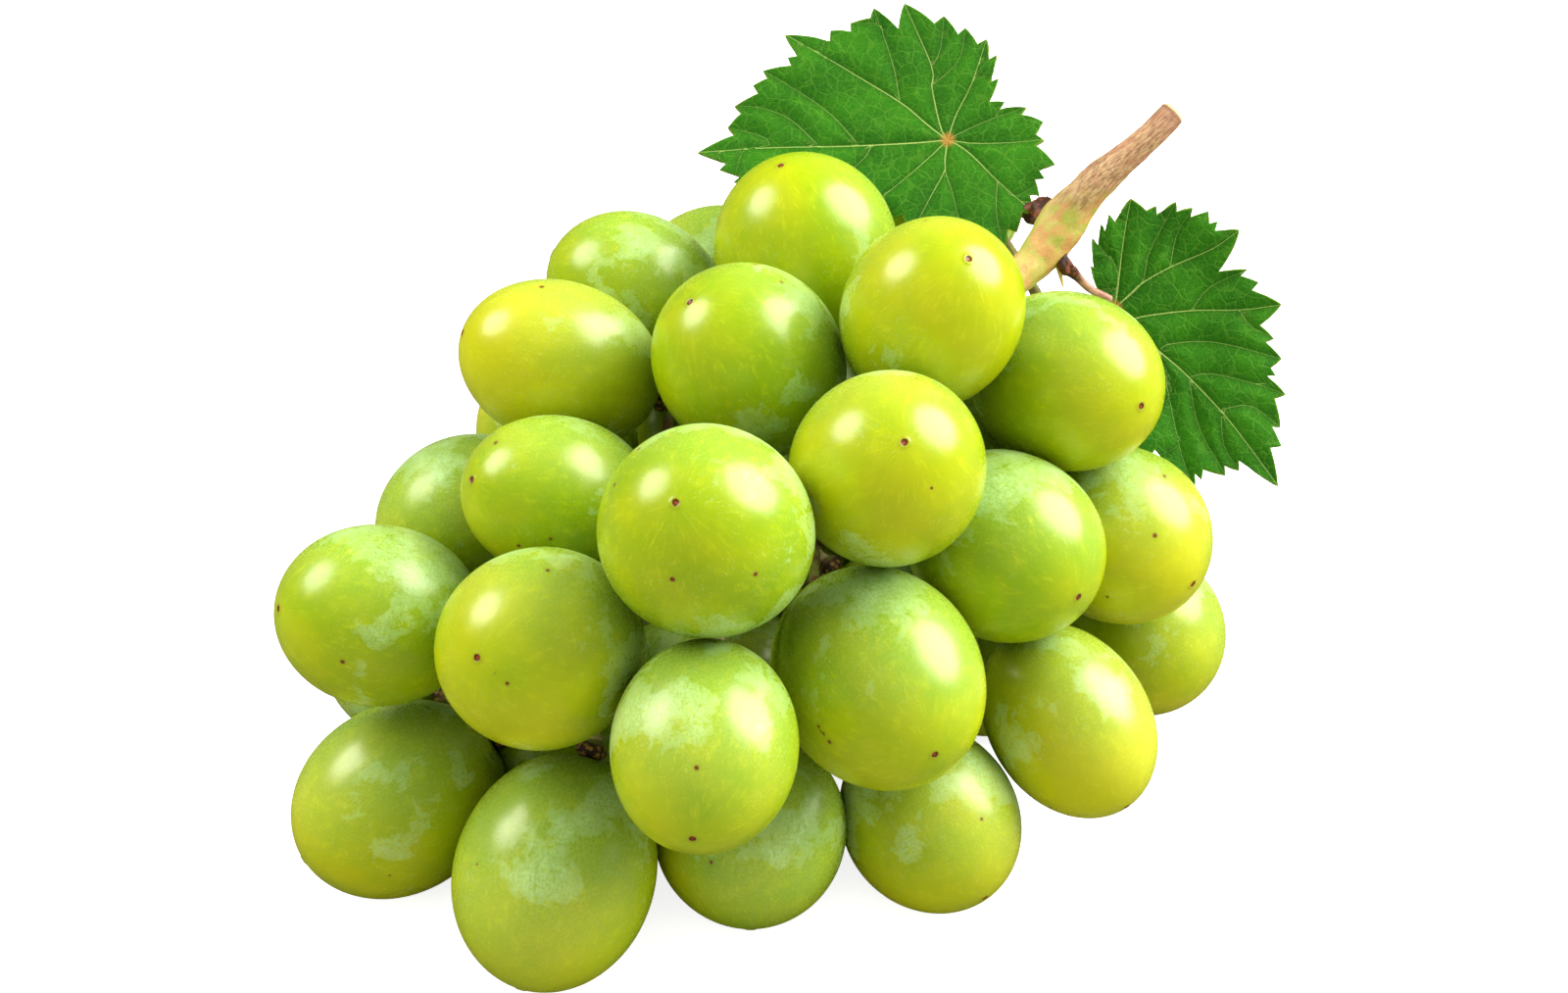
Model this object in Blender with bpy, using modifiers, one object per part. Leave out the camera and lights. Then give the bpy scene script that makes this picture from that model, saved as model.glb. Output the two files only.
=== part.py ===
"""A bunch of green grapes, as picked, lying on a flat surface.

The main stem runs through the middle of the bunch along +X, from the tail of the bunch up to
its cut end. Side stalks grow from it, and each ends in a swollen cup that holds one berry. Two
leaves stand on their own thin stalks at the stem's knuckle. The surface is z = 0. Lengths below
are in millimetres and angles in degrees, and the last step slides the whole bunch so that the
origin is on the surface under its middle.
"""

import math

import bmesh
import bpy
import numpy as np
from mathutils import Matrix, Vector

MM = 0.001

# How the berries lie: middle x, y, z, then width and length, then the way the tip points,
# as a turn from +X and a rise. OUTWARD is a tip that points straight away from the main stem.
OUTWARD = (None, None)
FACE_BERRIES = {
    "berry_crown_1": (14, 17, 56, 22.0, 24.5, 135, 75),
    "berry_crown_2": (-2, 31, 48, 19.0, 22.5, 130, 20),
    "berry_crown_3": (15, 37, 39, 20.0, 22.5, 145, 0),
    "berry_crown_4": (-4, 3, 55, 22.0, 25.0, 165, 55),
    "berry_crown_5": (12, -11, 63, 21.0, 26.0, -90, 60),
    "berry_crown_6": (-4, -24, 55, 22.0, 26.5, -115, 50),
    "berry_crown_7": (-26.5, -23, 57, 23.5, 28.0, -145, 50),
    "berry_left_1": (-19, 21, 50.5, 19.5, 25.0, 150, 25),
    "berry_left_2": (-30, 5, 45, 19.0, 24.0, 170, 30),
    "berry_left_3": (-33, 21, 32.5, 20.0, 22.5, 165, -20),
    "berry_left_4": (-52, 10, 34.5, 21.0, 24.5, 165, 20),
    "berry_left_5": (-54, 5, 13, 21.5, 26.5, 170, -20),
    "berry_front_1": (-43, -12, 40, 23.0, 25.5, -160, 30),
    "berry_front_2": (-46.5, -18, 14, 23.0, 28.0, -145, -35),
    "berry_front_3": (-35.5, -33, 37, 21.0, 25.5, -130, -10),
    "berry_front_4": (-21.5, -24, 12, 22.0, 23.5, -125, -45),
    "berry_front_5": (-10, -31.5, 34, 23.5, 29.0, -100, 0),
    "berry_front_6": (-4, -33, 10, 20.0, 23.5, -90, -20),
    "berry_right_1": (13.5, -36.5, 19, 19.0, 25.0, -90, -25),
    "berry_right_2": (12, -26, 38.5, 22.0, 24.5, -85, 0),
    "berry_right_3": (28, -16, 50, 21.0, 26.0, -85, 15),
    "berry_right_4": (31.5, -23.5, 29.5, 21.0, 23.5, -80, -5),
    "berry_right_5": (38.5, -21, 10, 20.0, 22.0, -60, -30),
}
FILL_BERRIES = {
    "berry_inner_1": (-14, -8, 17, 20.0, 22.0, *OUTWARD),
    "berry_inner_2": (-17, 11, 23, 19.5, 22.0, *OUTWARD),
    "berry_inner_3": (19, -6, 33, 19.5, 21.5, *OUTWARD),
    "berry_inner_4": (5, 4, 22, 19.5, 21.5, *OUTWARD),
    "berry_inner_5": (-1, 12.5, 34.5, 18.5, 20.0, *OUTWARD),
    "berry_inner_6": (3, -16, 22, 19.5, 21.5, *OUTWARD),
    "berry_inner_7": (-26.5, -14.5, 27.5, 15.0, 16.5, *OUTWARD),
    "berry_back_1": (32, 13.5, 42, 19.5, 21.5, *OUTWARD),
    "berry_back_2": (16, 18, 32, 20.0, 22.0, *OUTWARD),
    "berry_back_3": (40, 24, 46, 20.0, 23.0, *OUTWARD),
    "berry_back_4": (-14, 29, 30, 20.0, 22.5, *OUTWARD),
    "berry_back_5": (43, 13, 26, 19.5, 22.0, *OUTWARD),
    "berry_back_6": (44, -1, 32.5, 19.5, 21.5, *OUTWARD),
    "berry_under_1": (-33, 4, 10, 19.5, 21.5, *OUTWARD),
    "berry_under_2": (-42, 21, 14, 19.5, 22.0, *OUTWARD),
    "berry_under_3": (-23, 24, 10, 19.5, 22.0, *OUTWARD),
    "berry_under_4": (1, 22, 17, 20.0, 22.0, *OUTWARD),
    "berry_under_5": (25, 4, 16, 19.5, 22.0, *OUTWARD),
    "berry_under_6": (20, -14, 10, 19.0, 21.0, *OUTWARD),
    "berry_under_7": (28, 25, 10, 20.0, 22.0, *OUTWARD),
}
RESTING = (
    "berry_left_5", "berry_front_2", "berry_front_4", "berry_front_6", "berry_right_5",
    "berry_under_1", "berry_under_3", "berry_under_6", "berry_under_7",
)
BERRY_SEGMENTS = 12
BERRY_RINGS = 8
BERRY_GAP = 0.35
SQUASH = 0.4          # how far a resting berry is flattened by the surface
FACE_GIVE = 0.1       # how readily the outer berries move aside, against 1 for the others
SETTLE_ROUNDS = 400

# The main stem, from its cut end to its tail, as (x, y, z, radius).
MAIN_STEM = (
    (54, -3, 71.5, 1.6), (50.5, -3, 69.5, 1.65), (46.5, -2, 66.5, 1.75), (42.5, -1, 63, 2.0),
    (39.5, -0.5, 59.5, 2.6), (35.5, -1, 56.5, 2.3), (28.5, -2, 54, 1.9), (20, -2, 50, 1.8),
    (8, -1.5, 42, 1.8), (-5, -1, 35, 1.7), (-20, -2, 29, 1.5), (-33, -3, 24, 1.3), (-43, -3, 20, 1.0),
)
STALK_RADIUS = 0.75
CUP_RADIUS = 1.8
CUP_LENGTH = 2.0
CUP_GAP = 0.4
STALK_POINTS = 9
STALK_STEP = 2.0      # length of one straight piece of a stalk
NEAR_STEM = 5.0       # a cup this close to a stem that it faces runs straight into it
STALK_ROOM = 0.6     # space kept between a stalk and any berry
ROUTE_ROUNDS = 400

# Leaf blades: where the stalk meets the blade, the way its upper face looks, and its margin
# as (angle, reach) of lobe tips and the dips between them, anticlockwise round that point.
UPPER_LEAF = {
    "joint": (36.4, 18.5, 63.1),
    "faces": (-140, 55),
    "margin": (
        (54, 7), (64, 10), (81, 14.2), (104, 17), (118, 19.7), (123, 16.6), (128, 20.7), (138, 20.6),
        (155, 25.7), (161, 23.4), (179, 27.5), (192, 31.7), (199, 27), (202, 17.5), (210, 13.8),
        (223, 11.7), (241, 11.6), (264, 13), (283, 14), (307, 16.5), (327, 14.6), (337, 13.8),
        (355, 13.5), (20, 12), (34, 10.7), (46, 8.5),
    ),
    "cup": 0.003,
}
SIDE_LEAF = {
    "joint": (43.6, -6.8, 49.2),
    "faces": (-118, 36),
    "margin": (
        (106, 6), (98, 10), (78, 13.2), (64, 13.3), (55, 15), (37, 16.6), (28, 18), (14, 14),
        (7, 18), (357, 21), (348, 18.7), (330, 24), (316, 27), (309, 30), (304, 26), (296, 22.5),
        (288, 25), (270, 12), (240, 6), (200, 3), (165, 3), (140, 3),
    ),
    "cup": 0.004,
}
LEAF_THICKNESS = 0.6
LEAF_SPOKES = 48
LEAF_RINGS = 4

# Leaf stalks, as (x, y, z, radius), from a swollen foot at the knuckle to the back of the blade.
UPPER_LEAF_STALK = (
    (40, 2.6, 59, 1.2), (40, 4.5, 58.2, 1.0), (40.1, 6.5, 57.6, 0.8), (40.3, 9.5, 57.4, 0.7),
    (40.3, 13, 58, 0.6), (39, 17.5, 60, 0.6), (37.3, 18.8, 61.6, 0.6),
)
SIDE_LEAF_STALK = (
    (38.1, -3.5, 55.8, 0.9), (39.3, -4.2, 54.2, 0.6), (40.8, -5.2, 52.2, 0.5), (42.8, -6.7, 50.7, 0.5),
)

WAXY_GREEN = (0.42, 0.55, 0.10)
LEAF_GREEN = (0.05, 0.26, 0.03)
STALK_GREEN = (0.36, 0.40, 0.12)
STEM_TAN = (0.45, 0.27, 0.14)


def clear_scene():
    """Remove whatever objects the open file holds."""
    for item in list(bpy.data.objects):
        bpy.data.objects.remove(item, do_unlink=True)


def new_collection(name):
    """Add a collection to the scene."""
    collection = bpy.data.collections.new(name)
    bpy.context.scene.collection.children.link(collection)
    return collection


def material(name, colour, roughness):
    """A Principled material of one colour."""
    made = bpy.data.materials.new(name)
    made.use_nodes = True
    surface = made.node_tree.nodes["Principled BSDF"]
    surface.inputs["Base Color"].default_value = (*colour, 1.0)
    surface.inputs["Roughness"].default_value = roughness
    surface.inputs["Metallic"].default_value = 0.0
    return made


def add_object(name, mesh, collection, finish=None):
    """Put a mesh in the scene as a named object."""
    made = bpy.data.objects.new(name, mesh)
    collection.objects.link(made)
    if finish:
        made.data.materials.clear()
        made.data.materials.append(finish)
    return made


def direction(turn, rise):
    """The unit vector at a turn from +X and a rise above level."""
    turn, rise = math.radians(turn), math.radians(rise)
    return np.array([math.cos(rise) * math.cos(turn), math.cos(rise) * math.sin(turn), math.sin(rise)])


def along_route(points, spacing):
    """Points at an even spacing along a polyline."""
    points = np.array(points, float)
    steps = np.linalg.norm(np.diff(points[:, :3], axis=0), axis=1)
    reach = np.concatenate([[0.0], np.cumsum(steps)])
    stations = np.linspace(0.0, reach[-1], max(2, int(round(reach[-1] / spacing)) + 1))
    return np.stack([np.interp(stations, reach, column) for column in points.T], axis=1)


def away_from_stem(centre):
    """The direction from the nearest point of the main stem to a berry's middle."""
    stem = along_route(MAIN_STEM, 1.0)[:, :3]
    nearest = stem[np.linalg.norm(stem - centre, axis=1).argmin()]
    return (centre - nearest) / np.linalg.norm(centre - nearest)


def reach_along(way, tips, half_widths, half_lengths):
    """How far each berry reaches from its middle in a direction."""
    cosine = np.sum(way * tips, axis=-1)
    return np.sqrt(half_widths ** 2 * (1.0 - cosine ** 2) + half_lengths ** 2 * cosine ** 2)


class Berries:
    """Every berry's name, middle, tip direction and half sizes, eased apart so that none touch."""

    def __init__(self):
        rows = {**FACE_BERRIES, **FILL_BERRIES}
        table = [row[:5] for row in rows.values()]
        self.names = list(rows)
        self.centres = np.array([row[:3] for row in table], float)
        self.half_widths = np.array([row[3] for row in table]) / 2.0
        self.half_lengths = np.array([row[4] for row in table]) / 2.0
        self.give = np.array([FACE_GIVE if name in FACE_BERRIES else 1.0 for name in self.names])
        self.resting = np.array([name in RESTING for name in self.names])
        self.tips = np.array([
            away_from_stem(np.array(row[:3], float)) if row[5] is None else direction(*row[5:])
            for row in rows.values()
        ])
        self.settle()

    def heights(self):
        """How high the middle of each berry stands when it touches the surface."""
        return reach_along(np.array([0.0, 0.0, 1.0]), self.tips, self.half_widths, self.half_lengths)

    def settle(self):
        """Move berries that crowd each other apart, and the resting ones onto the surface."""
        first, second = np.triu_indices(len(self.names), 1)
        share = self.give[first] / (self.give[first] + self.give[second])
        floor = self.heights()
        for _ in range(SETTLE_ROUNDS):
            across = self.centres[second] - self.centres[first]
            apart = np.linalg.norm(across, axis=1)
            way = across / apart[:, None]
            reach = reach_along(way, self.tips[first], self.half_widths[first], self.half_lengths[first])
            reach += reach_along(way, self.tips[second], self.half_widths[second], self.half_lengths[second])
            push = np.maximum(reach + BERRY_GAP - apart, 0.0)[:, None] * way
            np.add.at(self.centres, first, -push * share[:, None])
            np.add.at(self.centres, second, push * (1.0 - share)[:, None])
            lowest = np.maximum(self.centres[:, 2], floor + BERRY_GAP)
            self.centres[:, 2] = np.where(self.resting, floor, lowest)

    def push_out(self, points, room):
        """Move points that are inside a berry, or closer than some room, out of it."""
        for centre, tip, width, length in zip(self.centres, self.tips, self.half_widths, self.half_lengths):
            offset = points - centre
            along = offset @ tip
            side = offset - along[:, None] * tip
            scale = np.sqrt((np.linalg.norm(side, axis=1) / (width + room)) ** 2 + (along / (length + room)) ** 2)
            inside = scale < 1.0
            points[inside] = centre + offset[inside] / scale[inside, None]
        return points

    def depth(self, points, room):
        """How deep points lie within some room of a berry, at worst."""
        worst = np.zeros(len(points))
        for centre, tip, width, length in zip(self.centres, self.tips, self.half_widths, self.half_lengths):
            offset = points - centre
            along = offset @ tip
            side = np.linalg.norm(offset - along[:, None] * tip, axis=1)
            scale = np.sqrt((side / (width + room)) ** 2 + (along / (length + room)) ** 2)
            worst = np.maximum(worst, (1.0 - scale) * width)
        return worst


def berry_mesh(name, centre, tip, half_width, half_length):
    """A faceted egg, its poles on the berry's own axis, in world place."""
    mesh = bpy.data.meshes.new(name)
    work = bmesh.new()
    bmesh.ops.create_uvsphere(work, u_segments=BERRY_SEGMENTS, v_segments=BERRY_RINGS, radius=1.0)
    turn = Vector(tip).to_track_quat("Z", "Y").to_matrix().to_4x4()
    size = Matrix.Diagonal((half_width * MM, half_width * MM, half_length * MM, 1.0))
    bmesh.ops.transform(work, matrix=Matrix.Translation(Vector(centre) * MM) @ turn @ size, verts=work.verts)
    return mesh, work


def flatten_on_surface(work):
    """Lower a berry onto the surface and cut its squashed side flat."""
    drop = min(vertex.co.z for vertex in work.verts) + SQUASH * MM
    bmesh.ops.translate(work, vec=(0.0, 0.0, -drop), verts=work.verts)
    whole = work.verts[:] + work.edges[:] + work.faces[:]
    cut = bmesh.ops.bisect_plane(
        work, geom=whole, plane_co=(0, 0, 0), plane_no=(0, 0, 1), dist=1e-7, clear_inner=True
    )
    rim = [item for item in cut["geom_cut"] if isinstance(item, bmesh.types.BMEdge)]
    bmesh.ops.edgeloop_fill(work, edges=rim)


def make_berries(berries, collection):
    """One solid for each berry."""
    finish = material("berry skin", WAXY_GREEN, 0.3)
    for number, name in enumerate(berries.names):
        mesh, work = berry_mesh(
            name, berries.centres[number], berries.tips[number],
            berries.half_widths[number], berries.half_lengths[number],
        )
        if berries.resting[number]:
            flatten_on_surface(work)
        work.to_mesh(mesh)
        work.free()
        mesh.shade_smooth()
        add_object(name, mesh, collection, finish)


def tube(name, route, collection, sides=1):
    """A closed mesh tube along a route of (x, y, z, radius) points."""
    curve = bpy.data.curves.new(name, "CURVE")
    curve.dimensions = "3D"
    curve.bevel_depth = MM
    curve.bevel_resolution = sides
    curve.use_fill_caps = True
    spline = curve.splines.new("POLY")
    spline.points.add(len(route) - 1)
    for point, (x, y, z, radius) in zip(spline.points, route):
        point.co = (x * MM, y * MM, z * MM, 1.0)
        point.radius = radius
    drawn = add_object(name + " route", curve, collection)
    bpy.context.view_layer.update()
    evaluated = drawn.evaluated_get(bpy.context.evaluated_depsgraph_get())
    mesh = bpy.data.meshes.new_from_object(evaluated)
    mesh.name = name
    bpy.data.objects.remove(drawn, do_unlink=True)
    work = bmesh.new()
    work.from_mesh(mesh)
    bmesh.ops.remove_doubles(work, verts=work.verts, dist=0.00001)
    bmesh.ops.recalc_face_normals(work, faces=work.faces)
    work.to_mesh(mesh)
    work.free()
    return mesh


def stalk_route(start, network, berries):
    """The way from behind a berry's cup to the nearest place on the stems that it can reach."""
    room = STALK_RADIUS + STALK_ROOM
    best = None
    for target in network:
        line = start + (target - start) * np.linspace(0.0, 1.0, 12)[:, None]
        cost = np.linalg.norm(target - start) + 4.0 * berries.depth(line, room).sum()
        if best is None or cost < best[0]:
            best = (cost, target)
    line = start + (best[1] - start) * np.linspace(0.0, 1.0, STALK_POINTS)[:, None]
    for _ in range(ROUTE_ROUNDS):
        line[1:-1] += 0.5 * ((line[:-2] + line[2:]) / 2.0 - line[1:-1])
        line[1:-1] = berries.push_out(line[1:-1].copy(), room)
    line = along_route(line, STALK_STEP)
    line[1:-1] = berries.push_out(line[1:-1].copy(), room)
    return line


def grow_stalks(berries):
    """Routes of every stalk, cups included, the berries nearest the main stem first."""
    stem = along_route(MAIN_STEM[6:], 1.5)[:, :3]
    bases = berries.centres - berries.tips * berries.half_lengths[:, None]
    order = np.argsort([np.linalg.norm(stem - base, axis=1).min() for base in bases])
    network = stem.copy()
    routes = []
    for number in order:
        mouth = bases[number] - berries.tips[number] * CUP_GAP
        apart = np.linalg.norm(network - mouth, axis=1).min()
        ahead = mouth - berries.tips[number] * apart
        if apart < NEAR_STEM and np.linalg.norm(network - ahead, axis=1).min() < STALK_RADIUS:
            line = [ahead]
        else:
            line = stalk_route(mouth - berries.tips[number] * CUP_LENGTH, network, berries)
            network = np.vstack([network, along_route(line, 1.5)[1:-1]])
        widths = [CUP_RADIUS] + [STALK_RADIUS] * len(line)
        routes.append(np.column_stack([np.vstack([mouth, line]), widths]))
    return routes


def make_stem(berries, collection, cutters):
    """The whole woody frame of the bunch as one solid: the main stem and every stalk."""
    stem = add_object("stem", tube("stem", MAIN_STEM, collection, sides=2), collection,
                      material("stem", STEM_TAN, 0.6))
    for number, route in enumerate(grow_stalks(berries)):
        branch = add_object(f"branch {number}", tube(f"branch {number}", route, cutters), cutters)
        branch.hide_render = True
        branch.display_type = "WIRE"
        join = stem.modifiers.new(branch.name, "BOOLEAN")
        join.operation = "UNION"
        join.solver = "EXACT"
        join.object = branch


def leaf_frame(leaf):
    """The blade's right, up and facing directions, and the place of its joint."""
    facing = direction(*leaf["faces"])
    right = np.cross([0.0, 0.0, 1.0], facing)
    right /= np.linalg.norm(right)
    return right, np.cross(facing, right), facing, np.array(leaf["joint"], float)


def margin_reach(margin, angles):
    """The blade's reach at each angle, straight from one margin point to the next."""
    points = sorted((angle % 360, reach) for angle, reach in margin)
    listed = np.radians([angle for angle, _ in points])
    reaches = [reach for _, reach in points]
    return np.interp(angles, listed, reaches, period=2.0 * math.pi)


def make_leaf(name, leaf, finish, collection):
    """A thin blade: rings of points round the joint, out to the margin, gently cupped."""
    right, up, facing, joint = leaf_frame(leaf)
    margin_angles = np.radians(sorted(angle % 360 for angle, _ in leaf["margin"]))
    even = np.linspace(0.0, 2.0 * math.pi, LEAF_SPOKES - len(margin_angles), endpoint=False)
    angles = np.sort(np.concatenate([margin_angles, even]))
    angles = angles[np.concatenate([[True], np.diff(angles) > 0.02])]
    reach = margin_reach(leaf["margin"], angles)
    work = bmesh.new()
    hub = work.verts.new(joint * MM)
    rings = []
    for ring in range(1, LEAF_RINGS + 1):
        radius = reach * ring / LEAF_RINGS
        lift = leaf["cup"] * radius ** 2
        places = joint + np.outer(radius * np.cos(angles), right) + np.outer(radius * np.sin(angles), up)
        places = places + np.outer(lift, facing)
        rings.append([work.verts.new(place * MM) for place in places])
    count = len(angles)
    for step in range(count):
        after = (step + 1) % count
        work.faces.new((hub, rings[0][step], rings[0][after]))
        for inner, outer in zip(rings[:-1], rings[1:]):
            work.faces.new((inner[step], outer[step], outer[after], inner[after]))
    mesh = bpy.data.meshes.new(name)
    work.to_mesh(mesh)
    work.free()
    mesh.shade_smooth()
    blade = add_object(name, mesh, collection, finish)
    shell = blade.modifiers.new("thickness", "SOLIDIFY")
    shell.thickness = LEAF_THICKNESS * MM
    shell.offset = 0.0


def centre_over_origin(collection, cutters):
    """Slide the bunch, cutters included, so that the origin lies under the middle of its box."""
    bpy.context.view_layer.update()
    graph = bpy.context.evaluated_depsgraph_get()
    corners = np.array([
        corner for item in collection.objects for corner in item.evaluated_get(graph).bound_box
    ])
    middle = (corners.min(axis=0) + corners.max(axis=0)) / 2.0
    for item in [*collection.objects, *cutters.objects]:
        item.location = (-middle[0], -middle[1], 0.0)


def main():
    clear_scene()
    bunch = new_collection("bunch of grapes")
    cutters = new_collection("cutters")
    berries = Berries()
    make_berries(berries, bunch)
    make_stem(berries, bunch, cutters)
    leaf_finish = material("leaf", LEAF_GREEN, 0.5)
    make_leaf("leaf_upper", UPPER_LEAF, leaf_finish, bunch)
    make_leaf("leaf_side", SIDE_LEAF, leaf_finish, bunch)
    stalk_finish = material("leaf stalk", STALK_GREEN, 0.5)
    for name, route in (("leaf_stalk_upper", UPPER_LEAF_STALK), ("leaf_stalk_side", SIDE_LEAF_STALK)):
        add_object(name, tube(name, route, bunch, sides=2), bunch, stalk_finish)
    centre_over_origin(bunch, cutters)


main()
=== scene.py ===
"""A bunch of green grapes with its woody stem and two vine leaves, ready to render.

Every grape is an egg-shaped surface with its own waxy bloom, scar and specks. The stem, its
stalks and the leaf stalks are profiles carried along paths, and the leaves are polar grids with
teeth and sunken veins. Lengths are in millimetres until a mesh is made.
"""

import math

import bpy
import numpy as np
from mathutils import Matrix, Vector


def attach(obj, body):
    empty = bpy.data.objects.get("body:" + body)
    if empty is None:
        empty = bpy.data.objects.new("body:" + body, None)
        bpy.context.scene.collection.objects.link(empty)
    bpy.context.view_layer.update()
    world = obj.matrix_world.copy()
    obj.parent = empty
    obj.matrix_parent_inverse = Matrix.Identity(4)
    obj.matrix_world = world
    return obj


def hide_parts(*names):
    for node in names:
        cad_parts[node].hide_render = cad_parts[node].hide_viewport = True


MM = 0.001
SHIFT = np.array([2.94, 0.70, 0.0])     # from the stem's own origin to the middle of the bunch

# Main stem, from its cut end to its tail, as (x, y, z, radius).
MAIN_STEM = (
    (54, -3, 71.5, 1.6), (50.5, -3, 69.5, 1.65), (46.5, -2, 66.5, 1.75), (42.5, -1, 63, 2.0),
    (39.5, -0.5, 59.5, 2.6), (35.5, -1, 56.5, 2.3), (28.5, -2, 54, 1.9), (20, -2, 50, 1.8),
    (8, -1.5, 42, 1.8), (-5, -1, 35, 1.7), (-20, -2, 29, 1.5), (-33, -3, 24, 1.3), (-43, -3, 20, 1.0),
)
STALK_RADIUS = 0.75
CUP_GAP = 0.4            # between a berry's surface and the mouth of its cup
CUP_LENGTH = 2.0
STALK_ROOM = 0.6         # kept free between a stalk and the berries it passes
NEAR_STEM = 5.0          # a cup nearer than this to the stem may join it straight
BRANCHES_FROM = 6        # the first row of the main stem that stalks may grow from
BRANCH_SPACING = 1.5
SETTLING_STEPS = 400     # rounds of straightening a stalk and pushing it out of the berries
AROUND_STEM, AROUND_STALK, AROUND_FOOT = 40, 20, 24


# ---- directions and small maths

def direction(turn, rise):
    """The unit vector at a turn from +X and a rise above level, both in degrees."""
    turn, rise = math.radians(turn), math.radians(rise)
    return np.array([math.cos(rise) * math.cos(turn), math.cos(rise) * math.sin(turn), math.sin(rise)])


def turns(around):
    """Even turns round a full circle, in radians."""
    return np.linspace(0.0, 2.0 * math.pi, around, endpoint=False)


def reach_along(points):
    """How far along a polyline each of its points lies."""
    return np.concatenate([[0.0], np.cumsum(np.linalg.norm(np.diff(points, axis=0), axis=1))])


def unit(vectors):
    """Vectors scaled to length one."""
    return vectors / np.maximum(np.linalg.norm(vectors, axis=-1, keepdims=True), 1e-9)


def smoothstep(values, low, high):
    """0 below low, 1 above high, and 3t^2 - 2t^3 between them."""
    t = np.clip((values - low) / (high - low), 0.0, 1.0)
    return t * t * (3.0 - 2.0 * t)


def ripple(points, seed, size, layers=4):
    """Smooth unevenness at points: a sum of sine waves in random directions, each layer half as large."""
    draw = np.random.default_rng(seed)
    total = np.zeros(points.shape[:-1])
    for layer in range(layers):
        for _ in range(3):
            way = unit(draw.normal(size=3)) * 2.0 * math.pi / size * 1.9 ** layer
            total += 0.55 ** layer * np.sin(points @ way + draw.uniform(0.0, 2.0 * math.pi)) / 3.0
    return total


def curve_through(points, spacing):
    """Even points on a Catmull-Rom curve through the given rows, every column alike."""
    rows = np.array(points, float)
    rows = np.vstack([2.0 * rows[0] - rows[1], rows, 2.0 * rows[-1] - rows[-2]])
    before, start, end, after = rows[:-3, None], rows[1:-2, None], rows[2:-1, None], rows[3:, None]
    t = np.linspace(0.0, 1.0, 24, endpoint=False)[None, :, None]
    curve = 0.5 * (
        2.0 * start + (end - before) * t + (2.0 * before - 5.0 * start + 4.0 * end - after) * t ** 2
        + (3.0 * start - before - 3.0 * end + after) * t ** 3
    )
    dense = np.vstack([curve.reshape(-1, rows.shape[1]), rows[-2]])
    reach = reach_along(dense[:, :3])
    stations = np.linspace(0.0, reach[-1], max(3, int(round(reach[-1] / spacing)) + 1))
    return np.stack([np.interp(stations, reach, column) for column in dense.T], axis=1)


def shifted_path(rows, spacing):
    """A smooth path through (x, y, z, radius) rows, moved into the bunch's frame, and its radii."""
    line = curve_through(np.array(rows, float) + np.append(SHIFT, 0.0), spacing)
    return line[:, :3], line[:, 3]


# ---- meshes from grids

def closed_faces(rings, around):
    """Corner numbers for rings of points joined round and along, with a pole at each end.

    Point 0 is the first pole, then come the rings in order, and the last point is the other pole.
    """
    ring, step = np.meshgrid(np.arange(rings - 1), np.arange(around), indexing="ij")
    after = (step + 1) % around
    corner = 1 + ring * around
    quads = np.stack([corner + step, corner + after, corner + around + after, corner + around + step], -1)
    spoke = np.arange(around)
    turn = (spoke + 1) % around
    last = 1 + rings * around
    far = 1 + (rings - 1) * around
    near_fan = np.stack([np.zeros(around, int), 1 + turn, 1 + spoke], -1)
    far_fan = np.stack([np.full(around, last), far + spoke, far + turn], -1)
    return quads.reshape(-1, 4), np.vstack([near_fan, far_fan])


def turned_out(points, quads, triangles):
    """The faces of a closed shell, reversed where the sum of their corners' triple products is negative."""
    halves = np.vstack([triangles, quads[:, [0, 1, 2]], quads[:, [0, 2, 3]]])
    a, b, c = points[halves[:, 0]], points[halves[:, 1]], points[halves[:, 2]]
    if np.einsum("ij,ij->i", a, np.cross(b, c)).sum() < 0.0:
        return quads[:, ::-1], triangles[:, ::-1]
    return quads, triangles


def mesh_from(name, points, quads, triangles, attributes):
    """A smooth mesh from points in millimetres, with vectors kept on its points."""
    loops = np.concatenate([quads.ravel(), triangles.ravel()])
    sizes = np.concatenate([np.full(len(quads), 4), np.full(len(triangles), 3)])
    mesh = bpy.data.meshes.new(name)
    mesh.vertices.add(len(points))
    mesh.vertices.foreach_set("co", (points * MM).astype(np.float32).ravel())
    mesh.loops.add(len(loops))
    mesh.loops.foreach_set("vertex_index", loops.astype(np.int32))
    mesh.polygons.add(len(sizes))
    starts = np.concatenate([[0], np.cumsum(sizes)[:-1]])
    mesh.polygons.foreach_set("loop_start", starts.astype(np.int32))
    mesh.update(calc_edges=True)
    mesh.polygons.foreach_set("use_smooth", np.ones(len(sizes), bool))
    for key, values in attributes.items():
        layer = mesh.attributes.new(key, "FLOAT_VECTOR", "POINT")
        layer.data.foreach_set("vector", values.astype(np.float32).ravel())
    mesh.validate()
    return mesh


class Shells:
    """Closed shells gathered into one mesh: each is rings of points with a pole at either end."""

    def __init__(self):
        self.points, self.quads, self.triangles, self.marks = [], [], [], []
        self.count = 0

    def add(self, rings, first, last, marks):
        """Add a shell: rings (along, around, 3), its two poles, and a vector of marks per ring point."""
        points = np.vstack([first[None], rings.reshape(-1, 3), last[None]])
        quads, triangles = turned_out(points, *closed_faces(*rings.shape[:2]))
        self.points.append(points)
        self.marks.append(np.vstack([marks[:1].mean(1), marks.reshape(-1, 3), marks[-1:].mean(1)]))
        self.quads.append(quads + self.count)
        self.triangles.append(triangles + self.count)
        self.count += len(points)

    def mesh(self, name, mark_name):
        """The gathered mesh, with the marks as a vector attribute."""
        grids = [np.vstack(part) for part in (self.points, self.quads, self.triangles)]
        return mesh_from(name, *grids, {mark_name: np.vstack(self.marks)})


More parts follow.
